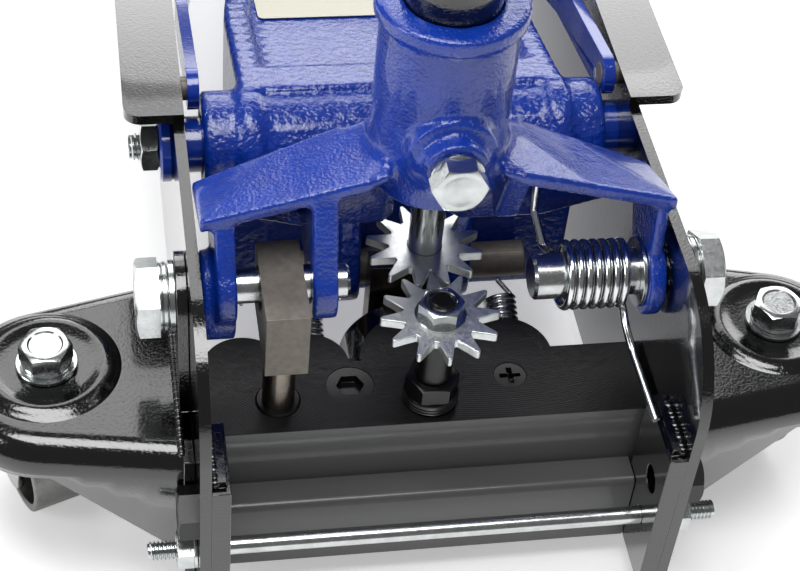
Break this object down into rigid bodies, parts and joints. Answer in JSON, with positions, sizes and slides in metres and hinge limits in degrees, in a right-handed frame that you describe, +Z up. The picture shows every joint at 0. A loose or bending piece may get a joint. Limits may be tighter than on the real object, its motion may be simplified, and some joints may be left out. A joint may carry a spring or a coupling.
{
  "type": "low profile trolley jack",
  "caption": "Low profile trolley jack with a hinged handle socket, release gears, pump, sprung handle, long lift arm and castered rear wings.",
  "frame": {"origin": "on the floor, at the middle of the jack's outline", "axes": "+X to the right seen from the handle end, +Y to the front wheels, +Z up"},
  "size_m": [0.385, 0.708, 1.296],
  "materials": {
    "black_paint": "gloss paint",
    "blue_paint": "gloss paint",
    "bright_zinc": "bright zinc plating",
    "raw_steel": "raw machined steel",
    "dark_steel": "oiled dark steel",
    "rubber": "matt"
  },
  "bodies": {
    "frame": {"side_plate_left": "black_paint", "side_plate_right": "black_paint", "back_bar_left": "black_paint", "back_bar_right": "black_paint", "tie_rod": "bright_zinc", "tie_nuts": "bright_zinc", "front_axle": "raw_steel", "axle_nuts": "bright_zinc", "front_bridge": "black_paint", "wing_left": "black_paint", "wing_right": "black_paint", "unit_bolts": "dark_steel", "bar_bolts": "dark_steel", "power_unit": "dark_steel", "ram_cylinder": "dark_steel", "filler_plug": "dark_steel", "safety_screw": "dark_steel", "valve_gland": "dark_steel", "pivot_bolt_left": "bright_zinc", "pivot_bolt_right": "bright_zinc", "lock_washers": "bright_zinc", "spring_washer": "bright_zinc", "handle_spring": "bright_zinc", "arm_shaft": "blue_paint", "arm_nut": "bright_zinc", "link_studs": "raw_steel", "return_spring_left": "bright_zinc", "return_spring_right": "bright_zinc", "caster_bolt_left": "bright_zinc", "caster_bolt_right": "bright_zinc"},
    "yoke": {"yoke": "blue_paint", "clamp_bolt": "bright_zinc", "drive_pin": "bright_zinc", "split_pins": "bright_zinc"},
    "handle": {"release_rod": "bright_zinc", "upper_gear": "bright_zinc", "handle_lower": "black_paint", "handle_upper": "black_paint", "foam_sleeve": "rubber", "grip": "rubber"},
    "valve": {"valve_spindle": "raw_steel", "lower_gear": "bright_zinc", "gear_nut": "bright_zinc"},
    "pump": {"pump_block": "raw_steel", "pump_plunger": "raw_steel"},
    "arm": {"lift_arm": "blue_paint", "crank_pin": "raw_steel"},
    "ram": {"ram_rod": "raw_steel"},
    "link_left": {"link_bar_left": "blue_paint"},
    "link_right": {"link_bar_right": "blue_paint"},
    "saddle_carrier": {"saddle_yoke": "blue_paint", "saddle_pin": "bright_zinc"},
    "saddle": {"saddle": "black_paint", "saddle_pad": "rubber"},
    "front_wheel_left": {"front_wheel_left": "raw_steel"},
    "front_wheel_right": {"front_wheel_right": "raw_steel"},
    "caster_left": {"caster_fork_left": "black_paint"},
    "caster_right": {"caster_fork_right": "black_paint"},
    "roller_left": {"caster_wheel_left": "raw_steel"},
    "roller_right": {"caster_wheel_right": "raw_steel"}
  },
  "joints": [
    {"name": "yoke_tilt", "type": "hinge", "parent": "frame", "child": "yoke", "pos_m": [0, -0.28, 0.1265], "axis": [1, 0, 0], "range_deg": [0, 70], "stiffness_Nm_per_rad": 10, "springref_deg": -17.19, "deforming": ["handle_spring"]},
    {"name": "handle_twist", "type": "hinge", "parent": "yoke", "child": "handle", "pos_m": [0, -0.26, 0.2], "axis": [0, 0, 1], "range_deg": [0, 90]},
    {"name": "valve_turn", "type": "hinge", "parent": "frame", "child": "valve", "pos_m": [0, -0.3, 0.1], "axis": [0, 0, 1], "range_deg": [-90, 0]},
    {"name": "pump_stroke", "type": "slide", "parent": "frame", "child": "pump", "axis": [0, 0, 1], "range_m": [-0.0156, 0]},
    {"name": "arm_lift", "type": "hinge", "parent": "frame", "child": "arm", "pos_m": [0, -0.194, 0.13], "axis": [1, 0, 0], "range_deg": [0, 60], "stiffness_Nm_per_rad": 12, "springref_deg": -17.19, "deforming": ["return_spring_left", "return_spring_right"]},
    {"name": "ram_stroke", "type": "slide", "parent": "frame", "child": "ram", "axis": [0, 1, 0], "range_m": [0, 0.0595]},
    {"name": "link_left_turn", "type": "hinge", "parent": "frame", "child": "link_left", "pos_m": [-0.0891, -0.186, 0.154], "axis": [1, 0, 0], "range_deg": [0, 60]},
    {"name": "link_right_turn", "type": "hinge", "parent": "frame", "child": "link_right", "pos_m": [0.0891, -0.186, 0.154], "axis": [1, 0, 0], "range_deg": [0, 60]},
    {"name": "saddle_level", "type": "hinge", "parent": "arm", "child": "saddle_carrier", "pos_m": [0, 0.23006, 0.04757], "axis": [1, 0, 0], "range_deg": [-60, 0]},
    {"name": "saddle_spin", "type": "hinge", "parent": "saddle_carrier", "child": "saddle", "pos_m": [0, 0.26206, 0.07], "axis": [0, 0, 1], "continuous": true},
    {"name": "front_wheel_left_spin", "type": "hinge", "parent": "frame", "child": "front_wheel_left", "pos_m": [-0.0787, 0.322, 0.032], "axis": [1, 0, 0], "continuous": true},
    {"name": "front_wheel_right_spin", "type": "hinge", "parent": "frame", "child": "front_wheel_right", "pos_m": [0.0787, 0.322, 0.032], "axis": [1, 0, 0], "continuous": true},
    {"name": "caster_left_swivel", "type": "hinge", "parent": "frame", "child": "caster_left", "pos_m": [-0.1545, -0.2745, 0.05], "axis": [0, 0, 1], "continuous": true},
    {"name": "caster_right_swivel", "type": "hinge", "parent": "frame", "child": "caster_right", "pos_m": [0.1545, -0.2745, 0.05], "axis": [0, 0, 1], "continuous": true},
    {"name": "roller_left_spin", "type": "hinge", "parent": "caster_left", "child": "roller_left", "pos_m": [-0.15737, -0.26703, 0.024], "axis": [-0.9336, -0.3584, 0], "continuous": true},
    {"name": "roller_right_spin", "type": "hinge", "parent": "caster_right", "child": "roller_right", "pos_m": [0.15163, -0.26703, 0.024], "axis": [-0.9336, -0.3584, 0], "continuous": true}
  ],
  "couplings": [
    {"joint": "valve_turn", "follows": "handle_twist", "ratio": -1},
    {"joint": "pump_stroke", "follows": "yoke_tilt", "m_per_rad": -0.012606},
    {"joint": "ram_stroke", "follows": "arm_lift", "m_per_rad": 0.0567},
    {"joint": "link_left_turn", "follows": "arm_lift", "ratio": 1},
    {"joint": "link_right_turn", "follows": "arm_lift", "ratio": 1},
    {"joint": "saddle_level", "follows": "arm_lift", "ratio": -1}
  ]
}
